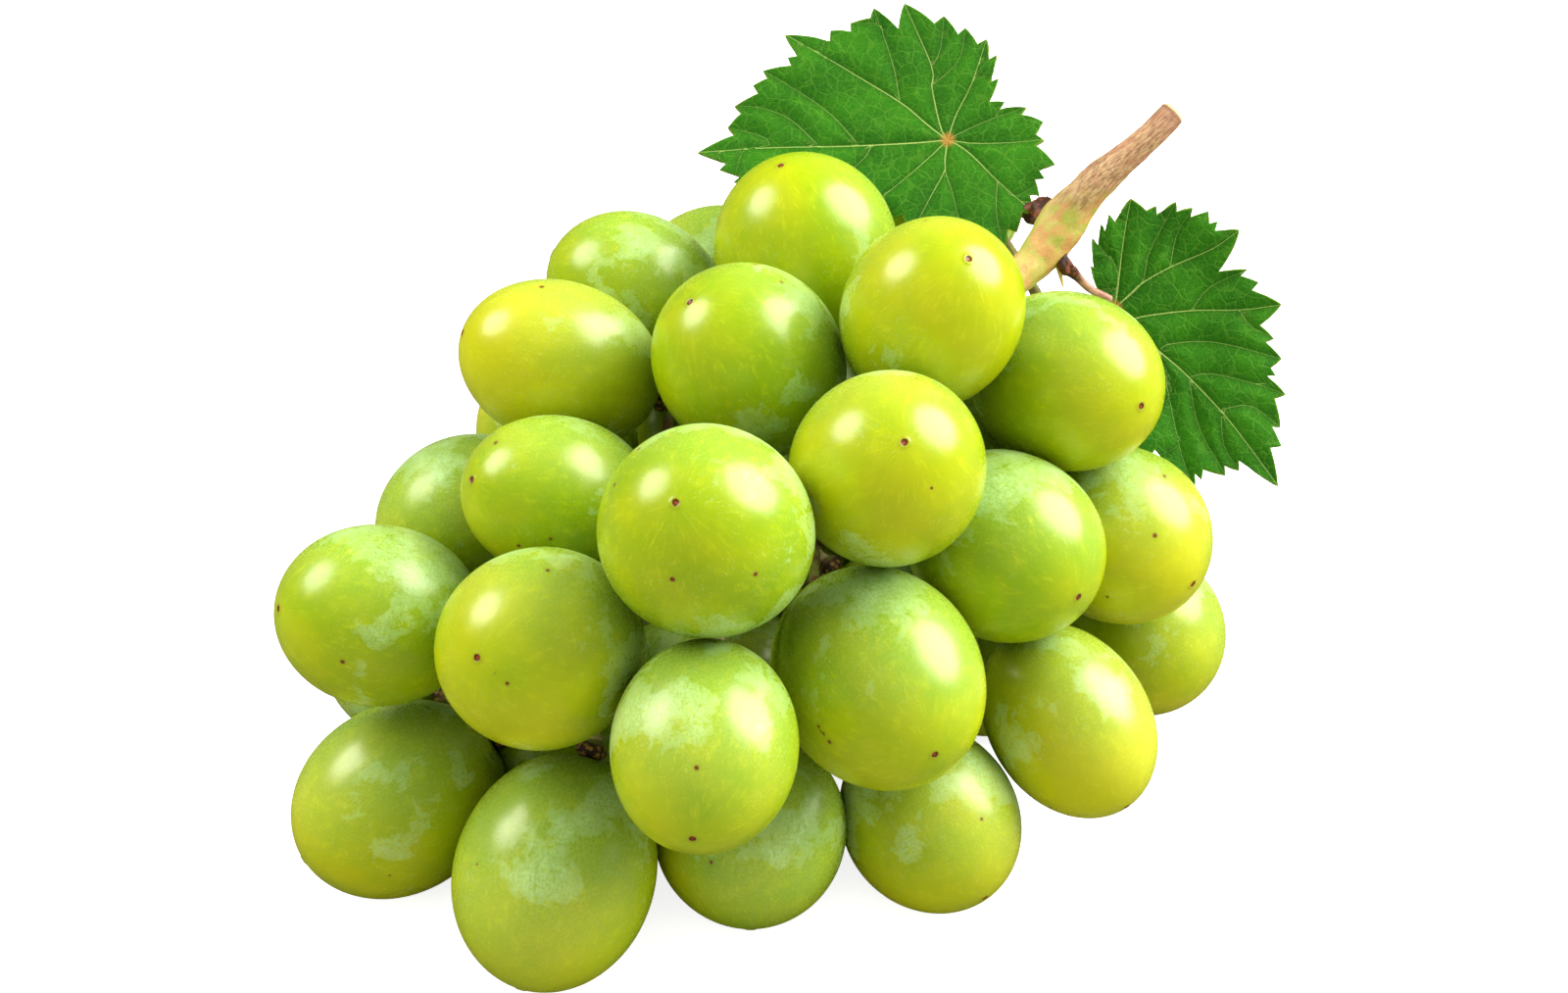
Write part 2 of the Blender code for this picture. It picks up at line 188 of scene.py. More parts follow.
def path_frames(line):
    """Two unit vectors across a path at each of its points, carried along it without twisting."""
    forward = unit(np.gradient(line, axis=0))
    side = unit(np.cross(forward[0], [0.0, 0.0, 1.0] if abs(forward[0, 2]) < 0.9 else [1.0, 0.0, 0.0]))
    sides = []
    for way in forward:
        side = unit(side - way * (side @ way))
        sides.append(side)
    sides = np.array(sides)
    return forward, sides, np.cross(forward, sides)


def carry(line, radii, around):
    """Rings round a path: point + radius * (cos turn * side + sin turn * up), a radius per ring."""
    forward, side, up = path_frames(line)
    turn = turns(around)[None, :, None]
    across = np.cos(turn) * side[:, None] + np.sin(turn) * up[:, None]
    return line[:, None] + radii[:, None, None] * across, across, forward


def marks_on(along, around, part):
    """For every ring point: how far along it is, its turn, and which kind of part it belongs to."""
    return np.stack(np.broadcast_arrays(along[:, None], turns(around)[None, :], part[:, None]), -1)


# ---- shader nodes

class Value:
    """A shader socket that takes plus, minus, times and divide like a number."""

    def __init__(self, paint, socket):
        self.paint = paint
        self.socket = socket

    def __add__(self, other):
        return self.paint.math("ADD", self, other)

    __radd__ = __add__

    def __sub__(self, other):
        return self.paint.math("SUBTRACT", self, other)

    def __rsub__(self, other):
        return self.paint.math("SUBTRACT", other, self)

    def __mul__(self, other):
        return self.paint.math("MULTIPLY", self, other)

    __rmul__ = __mul__

    def __truediv__(self, other):
        return self.paint.math("DIVIDE", self, other)


class Paint:
    """One material: a Principled shader, its plain settings, and the nodes that feed it."""

    def __init__(self, name, **plain):
        self.material = bpy.data.materials.new(name)
        self.material.use_nodes = True
        self.tree = self.material.node_tree
        self.shader = self.tree.nodes["Principled BSDF"]
        for key, value in plain.items():
            self.shader.inputs[key.replace("_", " ")].default_value = value

    def node(self, kind, settings=None, inputs=None, output=0):
        """A node of a kind: its settings first, then values or links for its sockets."""
        made = self.tree.nodes.new(kind)
        for key, value in (settings or {}).items():
            setattr(made, key, value)
        for key, value in (inputs or {}).items():
            self.join(value, made.inputs[key])
        return Value(self, made.outputs[output])

    def join(self, value, socket):
        """Link a value to a socket, or set the socket to a plain number or colour."""
        if isinstance(value, Value):
            self.tree.links.new(value.socket, socket)
        elif isinstance(value, tuple) and len(value) == 3 and socket.type == "RGBA":
            socket.default_value = (*value, 1.0)
        else:
            socket.default_value = value

    def feed(self, name, value):
        """Feed one of the shader's sockets."""
        self.join(value, self.shader.inputs[name])

    def math(self, operation, first, second=0.0, clamp=False):
        settings = {"operation": operation, "use_clamp": clamp}
        return self.node("ShaderNodeMath", settings, {0: first, 1: second})

    def step(self, value, low, high, start=0.0, end=1.0):
        """Smoothly from start to end as value goes from low to high."""
        return self.node(
            "ShaderNodeMapRange", {"interpolation_type": "SMOOTHSTEP"},
            {0: value, 1: low, 2: high, 3: start, 4: end},
        )

    def mix(self, share, first, second):
        """From the first colour to the second by a share."""
        return self.node("ShaderNodeMix", {"data_type": "RGBA"}, {0: share, 6: first, 7: second}, 2)

    def vector(self, operation, first, second):
        return self.node("ShaderNodeVectorMath", {"operation": operation}, {0: first, 1: second})

    def scaled(self, vector, size):
        """A vector times a plain number."""
        return self.node("ShaderNodeVectorMath", {"operation": "SCALE"}, {0: vector, "Scale": size})

    def length(self, vector):
        return self.node("ShaderNodeVectorMath", {"operation": "LENGTH"}, {0: vector}, 1)

    def parts(self, vector):
        """The x, y and z of a vector."""
        split = self.node("ShaderNodeSeparateXYZ", None, {0: vector})
        outputs = split.socket.node.outputs
        return [Value(self, outputs[number]) for number in range(3)]

    def join_parts(self, x, y, z):
        return self.node("ShaderNodeCombineXYZ", None, {0: x, 1: y, 2: z})

    def noise(self, place, scale, detail, roughness=0.5):
        """Cloudy noise from 0 to 1 at a place."""
        return self.node(
            "ShaderNodeTexNoise", None,
            {"Vector": place, "Scale": scale, "Detail": detail, "Roughness": roughness},
        )

    def noise_vector(self, place, scale, detail):
        """Three clouds at once, centred on zero, to shift a place with."""
        made = self.node("ShaderNodeTexNoise", None, {"Vector": place, "Scale": scale, "Detail": detail}, 1)
        return self.vector("SUBTRACT", made, (0.5, 0.5, 0.5))

    def cells(self, place, scale, feature="F1"):
        """Distance to the nearest cell point, or to the nearest cell edge."""
        return self.node("ShaderNodeTexVoronoi", {"feature": feature}, {"Vector": place, "Scale": scale})

    def attribute(self, name):
        """A vector kept on the piece's own points."""
        return self.node("ShaderNodeAttribute", {"attribute_name": name}, None, 1)

    def place(self):
        """Object coordinates, in metres."""
        return self.node("ShaderNodeTexCoord", None, None, 3)

    def bump(self, height, strength, distance=0.0004):
        """Raise the surface by a height, feeding the shader's normal."""
        settings = {"Strength": strength, "Distance": distance, "Height": height}
        self.feed("Normal", self.node("ShaderNodeBump", None, settings))


def piece(name, mesh, paint, slot, *nodes):
    """Put a finished mesh in the scene in place of its CAD nodes."""
    made = bpy.data.objects.new(name, mesh)
    bpy.context.scene.collection.objects.link(made)
    mesh.materials.append(paint.material)
    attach(made, "root")
    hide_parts(*nodes)
    return made


# ---- finishes

BERRY_GREEN = (0.255, 0.395, 0.0003)
BERRY_YELLOW = (0.485, 0.490, 0.0003)
# A darker green, mixed in towards each berry's shoulders as painted shade.
BERRY_PAINTED_SHADE = (0.180, 0.290, 0.0002)
BERRY_PALE = (0.62, 0.66, 0.008)
BERRY_BLOOM = (0.54, 0.80, 0.38)


def berry_finish():
    """Thin translucent yellow-green skin under a waxy film that is rubbed off round the tip.

    The film is thickest on the shoulders and the upper side, ends in sharp ragged edges, and is
    scratched. A pale haze is painted over the upper side as painted light, the skin is painted darker
    towards the shoulders as painted shade, and yellower towards the tip and the lower side as painted
    glow. Fine pale streaks spread from the tip, and small dark marks lie on the skin.
    """
    paint = Paint(
        "grape skin", IOR=1.45, Specular_IOR_Level=0.8, Subsurface_Weight=0.6,
        Subsurface_Radius=(1.0, 0.8, 0.1), Subsurface_Scale=0.004,
    )
    paint.shader.subsurface_method = "RANDOM_WALK"
    paint.shader.inputs["Specular Tint"].default_value = (1.0, 1.0, 0.76, 1.0)
    own = paint.attribute("own")                # place on a ball of radius one, z towards the tip, y down
    mark = paint.attribute("mark")              # offset from the nearest mark, over its radius
    seed, ripe, dusty = paint.parts(paint.attribute("kind"))
    x, y, z = paint.parts(own)
    lot = paint.vector("ADD", own, paint.join_parts(seed * 37.0, seed * 91.0, seed * 53.0))

    clouds = paint.noise(lot, 1.3, 3.0, 0.55)
    # The yellow share is partly each berry's own ripeness and cloudy tone, and partly painted glow: it
    # grows towards the tip and the lower side.
    yellow = (clouds - 0.5) * 1.5 + y * 0.28 + z * 0.22 - 0.10
    yellow = paint.math("ADD", yellow, ripe, clamp=True)
    flesh = paint.mix(yellow, BERRY_GREEN, BERRY_YELLOW)
    # Painted shade: the skin turns darker green towards the shoulders, away from the tip.
    flesh = paint.mix(paint.step(z + (clouds - 0.5) * 0.5, 0.70, -0.3) * 0.50, flesh, BERRY_PAINTED_SHADE)

    around = paint.math("MAXIMUM", paint.length(paint.join_parts(x, y, 0.0)), 0.03)
    spokes = paint.join_parts(x / around * 4.0 + seed * 17.0, y / around * 4.0, z * 3.0)
    streak = paint.step(paint.noise(spokes, 3.6, 3.0, 0.65), 0.54, 0.70) * paint.step(z, -0.2, 0.5)
    flesh = paint.mix(streak * 0.34, flesh, BERRY_PALE)
    broad = paint.step(paint.noise(lot, 7.0, 4.0, 0.65), 0.5, 0.72)
    flesh = paint.mix(broad * 0.20, flesh, BERRY_PALE)
    freckles = paint.step(paint.cells(lot, 21.0), 0.13, 0.05)
    flesh = paint.mix(freckles * 0.30, flesh, BERRY_PALE)

    warp = paint.vector("ADD", lot, paint.scaled(paint.noise_vector(lot, 2.6, 4.0), 0.45))
    patches = paint.noise(warp, 1.5, 5.0, 0.6)
    ragged = paint.noise(warp, 11.0, 4.0, 0.75)
    shoulder = paint.step(z, 0.80, 0.15)
    upper = paint.step(y, 0.4, -0.8)
    film = patches + (ragged - 0.5) * 0.14 + shoulder * 0.17 + upper * 0.06 + dusty
    edge = paint.step(film, 0.755, 0.78)
    body = paint.step(film, 0.755, 0.92, 0.45, 1.0)
    grit = paint.noise(lot, 34.0, 4.0, 0.7)
    drawn_out = paint.join_parts(x * 9.0 + seed * 9.0, y * 9.0, z * 2.2)
    lengthwise = paint.noise(drawn_out, 4.2, 3.0, 0.7)
    squeezed = paint.join_parts(x * 2.0, y * 2.0 - seed * 7.0, z * 13.0)
    crosswise = paint.noise(squeezed, 4.0, 3.0, 0.7)
    scratched = paint.math(
        "MAXIMUM", paint.step(lengthwise, 0.56, 0.62), paint.step(crosswise, 0.58, 0.64)
    )
    thick = edge * body * (1.0 - scratched * 0.75) * paint.step(grit, 0.36, 0.60, 0.40, 1.0)
    thin = paint.step(film, 0.50, 0.755) * paint.step(grit, 0.50, 0.72) * 0.26
    # Painted light: a pale haze over the upper side, where the light falls, added to the real bloom.
    painted_light_haze = paint.step(y, 0.0, -0.95) * 0.15
    bloom_and_painted_haze = paint.math("MAXIMUM", thick, thin) + painted_light_haze
    colour = paint.mix(bloom_and_painted_haze * 0.52, flesh, BERRY_BLOOM)

    near_mark = paint.length(mark)
    uneven = near_mark + (paint.noise(lot, 30.0, 2.0) - 0.5) * 0.5
    colour = paint.mix(paint.step(uneven, 2.4, 1.0) * 0.4, colour, (0.26, 0.22, 0.01))
    colour = paint.mix(paint.step(uneven, 1.05, 0.80), colour, (0.10, 0.011, 0.001))
    colour = paint.mix(paint.step(uneven, 0.55, 0.3) * 0.7, colour, (0.42, 0.06, 0.004))
    paint.feed("Base Color", colour)

    spot = paint.step(uneven, 1.15, 0.8)
    paint.feed("Roughness", 0.23 + bloom_and_painted_haze * 0.10 + grit * 0.06 + spot * 0.15)
    height = (
        paint.noise(lot, 5.0, 2.0) * 0.30 + thick * 0.05 + grit * 0.02 + ragged * 0.05
        - paint.step(lengthwise, 0.62, 0.68) * 0.02
    )
    paint.bump(height, 0.30)
    return paint


def stem_finish():
    """Fibrous tan bark near the cut, green with orange flushes at the knuckle, and warty stalks.

    The part is 0 for bark, 1 for the pith of the cut end, and up to 3 for the warts of a cup.
    """
    paint = Paint("vine stem", IOR=1.45, Subsurface_Weight=0.1, Subsurface_Scale=0.001)
    along, turn, part = paint.parts(paint.attribute("grown"))
    place = paint.place()
    round_x, round_y = paint.math("COSINE", turn), paint.math("SINE", turn)
    fibre = paint.noise(paint.join_parts(round_x * 2.6, round_y * 2.6, along * 0.35), 2.6, 5.0, 0.7)
    blotch = paint.noise(place, 330.0, 4.0, 0.6)
    fine = paint.noise(place, 1500.0, 3.0, 0.6)
    tan = paint.mix(paint.step(fibre, 0.34, 0.64), (0.24, 0.11, 0.045), (0.60, 0.38, 0.18))
    tan = paint.mix(paint.step(blotch, 0.46, 0.62) * 0.6, tan, (0.40, 0.15, 0.08))
    tan = paint.mix(paint.step(fine, 0.55, 0.75) * 0.35, tan, (0.62, 0.48, 0.27))
    green = paint.mix(paint.step(blotch, 0.38, 0.62), (0.54, 0.43, 0.10), (0.40, 0.39, 0.055))
    flush = paint.step(paint.noise(place, 420.0, 5.0, 0.65), 0.47, 0.60)
    green = paint.mix(flush * 0.70, green, (0.62, 0.25, 0.09))
    green = paint.mix(paint.step(fibre, 0.55, 0.75) * 0.4, green, (0.55, 0.50, 0.16))
    colour = paint.mix(paint.step(along + (blotch - 0.5) * 14.0 + round_y * 2.5, 10.0, 18.0), tan, green)
    deep = paint.mix(paint.step(blotch, 0.4, 0.6), (0.20, 0.24, 0.03), (0.16, 0.08, 0.02))
    colour = paint.mix(paint.step(along, 30.0, 38.0), colour, deep)
    browned = paint.step(along + (blotch - 0.5) * 3.0, 5.0, 0.5) * 0.55
    colour = paint.mix(browned, colour, (0.27, 0.11, 0.055))
    rim = paint.step(along, 0.6, 0.15) * paint.step(part, 0.5, 0.3)
    colour = paint.mix(rim * 0.6, colour, (0.16, 0.06, 0.025))
    pith = paint.mix(paint.step(fine, 0.4, 0.6), (0.50, 0.40, 0.14), (0.66, 0.58, 0.26))
    colour = paint.mix(paint.step(part, 0.4, 0.6) * paint.step(part, 1.6, 1.4), colour, pith)
    bumps = paint.step(paint.cells(place, 1500.0), 0.55, 0.25)
    warts = paint.mix(bumps, (0.055, 0.025, 0.006), (0.40, 0.22, 0.04))
    colour = paint.mix(paint.step(part, 1.6, 2.4), colour, warts)
    paint.feed("Base Color", colour)
    paint.feed("Roughness", 0.50 + fibre * 0.2)
    paint.bump(fibre * 0.5 + fine * 0.4 + blotch * 0.3, 0.6)
    return paint


def leaf_finish():
    """Deep green blade, finely speckled, with thin pale veins, a tan joint and yellow tooth tips.

    Each point knows its signed and plain distance from the nearest vein and that vein's half width,
    and its place on the flat blade and distance in from the margin, all in millimetres. The blade is
    painted darker in the sunken groove beside each vein, as painted shade.
    """
    paint = Paint(
        "vine leaf", IOR=1.4, Specular_IOR_Level=0.15, Subsurface_Weight=0.1,
        Subsurface_Radius=(0.3, 1.0, 0.15), Subsurface_Scale=0.0006,
    )
    signed, near, wide = paint.parts(paint.attribute("vein"))
    across, up, inset = paint.parts(paint.attribute("blade"))
    flat = paint.join_parts(across, up, 0.0)
    bent = paint.vector("ADD", flat, paint.scaled(paint.noise_vector(flat, 0.35, 2.0), 1.3))
    clouds = paint.noise(flat, 0.16, 3.0)
    green = paint.mix(paint.step(clouds, 0.32, 0.68), (0.014, 0.105, 0.0006), (0.027, 0.160, 0.0012))
    net = paint.step(paint.cells(bent, 0.55, "DISTANCE_TO_EDGE"), 0.07, 0.015)
    mesh = paint.step(paint.cells(bent, 1.7, "DISTANCE_TO_EDGE"), 0.11, 0.02)
    speck = paint.noise(flat, 2.6, 5.0, 0.8)
    green = paint.mix(paint.step(speck, 0.50, 0.68) * 0.60, green, (0.055, 0.235, 0.005))
    green = paint.mix(paint.step(speck, 0.47, 0.36) * 0.50, green, (0.008, 0.055, 0.001))
    green = paint.mix(mesh * 0.18, green, (0.070, 0.25, 0.010))
    green = paint.mix(net * 0.26, green, (0.11, 0.28, 0.02))
    sharp = paint.math("ABSOLUTE", signed) / wide
    line = paint.step(sharp, 1.15, 0.5) * paint.step(near, 1.2, 0.8)
    # Painted shade: the blade is darkened in the sunken groove beside each vein.
    painted_vein_shade = paint.step(near, 0.9, 0.15) * (1.0 - line)
    colour = paint.mix(painted_vein_shade * 0.30, green, (0.010, 0.070, 0.001))
    colour = paint.mix(line * paint.step(wide, 0.02, 0.10, 0.45, 0.95), colour, (0.36, 0.48, 0.12))
    joint = paint.length(flat)
    colour = paint.mix(paint.step(joint + speck * 0.8, 1.7, 0.7) * 0.9, colour, (0.42, 0.20, 0.04))
    edge = paint.step(inset + (speck - 0.5) * 0.3, 0.28, 0.02)
    colour = paint.mix(edge * 0.55, colour, (0.22, 0.30, 0.02))
    paint.feed("Base Color", colour)
    paint.feed("Roughness", 0.52 + speck * 0.16)
    height = 0.5 - net * 0.2 - mesh * 0.12 - line * 0.35 + speck * 0.35
    paint.bump(height, 0.65)
    return paint


def leaf_stalk_finish():
    """Thin ribbed stalk, dark red-brown and shrivelled at its foot, dull pink towards the blade."""
    paint = Paint("leaf stalk", IOR=1.45, Subsurface_Weight=0.08, Subsurface_Scale=0.001)
    _, _, part = paint.parts(paint.attribute("grown"))
    place = paint.place()
    blotch = paint.noise(place, 700.0, 4.0, 0.6)
    young = paint.mix(paint.step(blotch, 0.4, 0.62), (0.38, 0.17, 0.11), (0.50, 0.28, 0.17))
    foot = paint.mix(paint.step(blotch, 0.45, 0.62), (0.050, 0.014, 0.006), (0.22, 0.060, 0.025))
    colour = paint.mix(paint.step(part + (blotch - 0.5) * 0.2, 0.32, 0.50), foot, young)
    colour = paint.mix(paint.step(part, 1.4, 1.6), colour, (0.55, 0.34, 0.08))
    paint.feed("Base Color", colour)
    paint.feed("Roughness", 0.45 + blotch * 0.2)
    paint.bump(blotch * 0.5 + paint.noise(place, 2200.0, 3.0) * 0.5, 0.5)
    return paint


# ---- berries

class Berry:
    """One berry's middle, tip direction and half sizes, read from its CAD solid."""

    def __init__(self, node, stem):
        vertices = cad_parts[node].data.vertices
        points = np.zeros(len(vertices) * 3, np.float32)
        vertices.foreach_get("co", points)
        points = np.unique(np.round(points.reshape(-1, 3) / MM, 3), axis=0)
        middle = points.mean(axis=0)
        _, axes = np.linalg.eigh(np.cov((points - middle).T))
        tip = axes[:, 2]
        reach = (points - middle) @ tip
        self.centre = middle + tip * (reach.max() + reach.min()) / 2.0
        side = points - self.centre
        side = side - np.outer(side @ tip, tip)
        self.half_width = np.linalg.norm(side, axis=1).max()
        self.half_length = (reach.max() - reach.min()) / 2.0
        nearest = stem[np.linalg.norm(stem - self.centre, axis=1).argmin()]
        self.tip = tip if tip @ (self.centre - nearest) >= 0.0 else -tip
        self.node = node
        self.base = self.centre - self.tip * self.half_length

    def scale_at(self, points, room):
        """How far out points lie, 1 being the berry's surface grown by some room."""
        offset = points - self.centre
        along = offset @ self.tip
        side = np.linalg.norm(offset - along[:, None] * self.tip, axis=1)
        return np.sqrt((side / (self.half_width + room)) ** 2 + (along / (self.half_length + room)) ** 2)


AROUND_BERRY = 84
RINGS_BERRY = 54
GROWN = 0.13             # how far a berry swells past its CAD solid, to meet its neighbours
TIP_RINGS = (0.16, 0.30, 0.42, 0.52, 0.66, 0.9, 1.3, 1.8)    # radii of the rings round the scar


def berry_mesh(berry, number, ripe, dusty, specks):
    """An egg: half width * sin t across and half length * cos t along, t from the tip.

    Soft lumps of two and three waves round it swell and pinch it, the far end has a dimple for
    the cup, the tip has a raised scar, and whatever would go below the surface is pressed flat.
    """
    draw = np.random.default_rng(100 + number)
    width, length = berry.half_width + GROWN, berry.half_length + GROWN
    fine = np.array(TIP_RINGS) / width
    t = np.concatenate([fine, np.linspace(2.4 / width, math.pi - 0.045, RINGS_BERRY)])
    t, turn = t[:, None], turns(AROUND_BERRY)[None, :]
    phase = draw.uniform(0.0, 2.0 * math.pi, 4)
    lump = (
        0.009 * np.sin(2.0 * turn + phase[0]) * np.sin(t) ** 2
        + 0.006 * np.sin(3.0 * turn + phase[1]) * np.sin(t) ** 2
        + 0.006 * np.sin(2.0 * t + phase[2]) * np.cos(turn + phase[3]) * np.sin(t)
    )
    swell = 1.0 + lump + 0.012 * np.sin(t) ** 2 * np.cos(t)
    radius = width * np.sin(t) * swell
    along = length * np.cos(t) * np.ones_like(turn)
    scar = 0.10 * np.exp(-((radius - 0.52) / 0.14) ** 2) - 0.05 * np.exp(-(radius / 0.3) ** 2)
    dimple = 0.9 * np.exp(-(radius / 1.9) ** 2)
    along = along + scar * (t < 1.0) + dimple * (t > 2.0)
    side = unit(np.cross(berry.tip, [0.31, 0.2, 0.93]))
    up = np.cross(berry.tip, side)
    own = np.stack([np.sin(t) * np.cos(turn), np.sin(t) * np.sin(turn), np.cos(t) * np.ones_like(turn)], -1)
    grid = berry.centre + (
        (radius * np.cos(turn))[..., None] * side + (radius * np.sin(turn))[..., None] * up
        + along[..., None] * berry.tip
    )
    first = berry.centre + berry.tip * (length - 0.05)
    last = berry.centre - berry.tip * (length - 0.9)
    points = np.vstack([first[None], grid.reshape(-1, 3), last[None]])
    own = np.vstack([[[0.0, 0.0, 1.0]], own.reshape(-1, 3), [[0.0, 0.0, -1.0]]])
    points[:, 2] = np.maximum(points[:, 2], 0.0)

    marks = [(first, 0.45)]
    for away, round_it, size in specks:
        way = math.sin(away) * (math.cos(round_it) * side + math.sin(round_it) * up) * width
        marks.append((berry.centre + way + math.cos(away) * length * berry.tip, size))
    offsets = np.stack([(points - place) / size for place, size in marks])
    nearest = np.linalg.norm(offsets, axis=2).argmin(axis=0)
    mark = offsets[nearest, np.arange(len(points))]
    kind = np.tile([draw.uniform(), ripe, dusty], (len(points), 1))
    quads, triangles = turned_out(points - berry.centre, *closed_faces(len(grid), AROUND_BERRY))
    name = berry.node.replace("berry", "grape")
    return mesh_from(name, points, quads, triangles, {"own": own, "kind": kind, "mark": mark})


# How yellow each berry is, and how much bloom it has kept, by group and number; a None is left to chance.
RIPENESS = {
    "crown": (0.28, 0.25, 0.30, 0.05, 0.52, 0.50, 0.06),
    "left": (0.95, 0.25, 0.30, 0.35, 0.65),
    "front": (0.50, 0.60, 0.45, 0.45, 0.35, 0.75),
    "right": (1.05, 0.15, 0.40, 0.80, 0.60),
}
BLOOM = {
    "crown": (0.03, None, None, 0.02, 0.01, 0.05, 0.09),
    "left": (0.0, 0.05, None, 0.04, -0.02),
    "front": (0.02, -0.02, 0.05, None, 0.04, None),
    "right": (0.03, 0.05, 0.0, 0.03, None),
}


def listed(table, node, chance):
    """A berry's value in a table, or the one left to chance where the table has none."""
    _, group, number = node.split("_")
    value = table[group][int(number) - 1] if group in table else None
    return chance if value is None else value


def make_berries(berries):
    """Every berry as its own piece, each with its own ripeness, bloom and specks."""
    finish = berry_finish()
    draw = np.random.default_rng(7)
    for number, berry in enumerate(berries):
        ripe = listed(RIPENESS, berry.node, draw.uniform(0.2, 0.7))
        dusty = listed(BLOOM, berry.node, draw.uniform(0.0, 0.08))
        count = draw.integers(2, 5)
        specks = [
            (draw.uniform(0.3, 1.5), draw.uniform(0.0, 2.0 * math.pi), draw.uniform(0.15, 0.30))
            for _ in range(count)
        ]
        mesh = berry_mesh(berry, number, ripe, dusty, specks)
        piece(mesh.name, mesh, finish, "berry_skin", berry.node)


# ---- stem and stalks

def push_out(points, berries, room):
    """Move points that are inside a berry grown by some room out onto its surface."""
    for berry in berries:
        scale = berry.scale_at(points, room)
        inside = scale < 1.0
        points[inside] = berry.centre + (points[inside] - berry.centre) / scale[inside, None]
    return points


def depth(points, berries, room):
    """How deep points lie within some room of a berry, at worst."""
    inside = [(1.0 - berry.scale_at(points, room)) * berry.half_width for berry in berries]
    return np.maximum(np.max(inside, axis=0), 0.0)


def even_steps(points, spacing):
    """Points at an even spacing along a polyline."""
    reach = reach_along(points)
    stations = np.linspace(0.0, reach[-1], max(2, int(round(reach[-1] / spacing)) + 1))
    return np.stack([np.interp(stations, reach, column) for column in points.T], axis=1)


def stalk_route(start, network, berries):
    """From behind a berry's cup to the nearest place on the stems that it can reach between the berries."""
    room = STALK_RADIUS + STALK_ROOM
    share = np.linspace(0.0, 1.0, 12)[None, :, None]
    lines = start + (network[:, None] - start) * share
    deep = depth(lines.reshape(-1, 3), berries, room).reshape(len(network), -1).sum(axis=1)
    target = network[(np.linalg.norm(network - start, axis=1) + 4.0 * deep).argmin()]
    line = start + (target - start) * np.linspace(0.0, 1.0, 9)[:, None]
    for _ in range(SETTLING_STEPS):
        line[1:-1] += 0.5 * ((line[:-2] + line[2:]) / 2.0 - line[1:-1])
        line[1:-1] = push_out(line[1:-1].copy(), berries, room)
    line = even_steps(line, 2.0)
    line[1:-1] = push_out(line[1:-1].copy(), berries, room)
    return line


def grow_stalks(berries, stem):
    """The path of every stalk, from a berry's cup to the stem, nearest berries first."""
    bases = np.array([berry.base for berry in berries])
    order = np.argsort([np.linalg.norm(stem - base, axis=1).min() for base in bases])
    network = stem.copy()
    paths = []
    for number in order:
        berry = berries[number]
        mouth = berry.base - berry.tip * CUP_GAP
        apart = np.linalg.norm(network - mouth, axis=1).min()
        ahead = mouth - berry.tip * apart
        if apart < NEAR_STEM and np.linalg.norm(network - ahead, axis=1).min() < STALK_RADIUS:
            line = np.array([mouth - berry.tip * min(CUP_LENGTH, apart * 0.5), ahead])
        else:
            line = stalk_route(mouth - berry.tip * CUP_LENGTH, network, berries)
            network = np.vstack([network, even_steps(line, BRANCH_SPACING)[1:-1]])
        paths.append((berry, np.vstack([mouth, line])))
    return paths


def add_stalk(shells, berry, path, number):
    """A stalk with a swollen, warty cup against its berry.

    The radius swells from the stalk's own to the cup's rim as a bell curve of the distance from the
    berry, with a lip at the rim, and small warts stand out over the cup.
    """
    line = curve_through(path, 0.35)
    reach = reach_along(line)
    radius = STALK_RADIUS * (0.92 + 0.08 * np.cos(reach * 0.9 + number))
    radius = radius + 1.15 * np.exp(-((reach - 0.35) / 1.25) ** 2)
    rings, across, _ = carry(line, radius, AROUND_STALK)
    warts = np.maximum(ripple(rings, 40 + number, 1.6, 3), -0.3) * 0.20
    warts = warts * np.exp(-(reach / 2.2) ** 2)[:, None]
    grain = ripple(rings, 80 + number, 2.4, 3) * 0.06
    rings = rings + across * (warts + grain)[..., None]
    rim = line[0] + (rings[0] - line[0]) * 0.55 + berry.tip * 0.7
    rings = np.concatenate([rim[None], rings])
    warty = np.concatenate([[3.0], 3.0 * np.exp(-(reach / 2.0) ** 2)])
    along = np.concatenate([[40.0], 40.0 + reach])
    marks = marks_on(along, AROUND_STALK, warty)
    shells.add(rings, line[0] + berry.tip * 0.75, line[-1], marks)


KNUCKLE_AT = 18.5        # millimetres from the cut end
FULL_AT = 12.5           # where the stem is fuller than its solid, above the knuckle

# The cut end, from its middle outwards: share of the radius, depth in millimetres (less than 0 stands
# out), and 1 for pith or 0 for bark.
CUT_END = (
    (0.12, -0.40, 1.0), (0.3, -0.50, 1.0), (0.6, -0.52, 1.0), (0.84, -0.42, 1.0), (0.92, -0.14, 1.0),
    (0.95, -0.02, 0.0), (0.99, 0.0, 0.0),
)


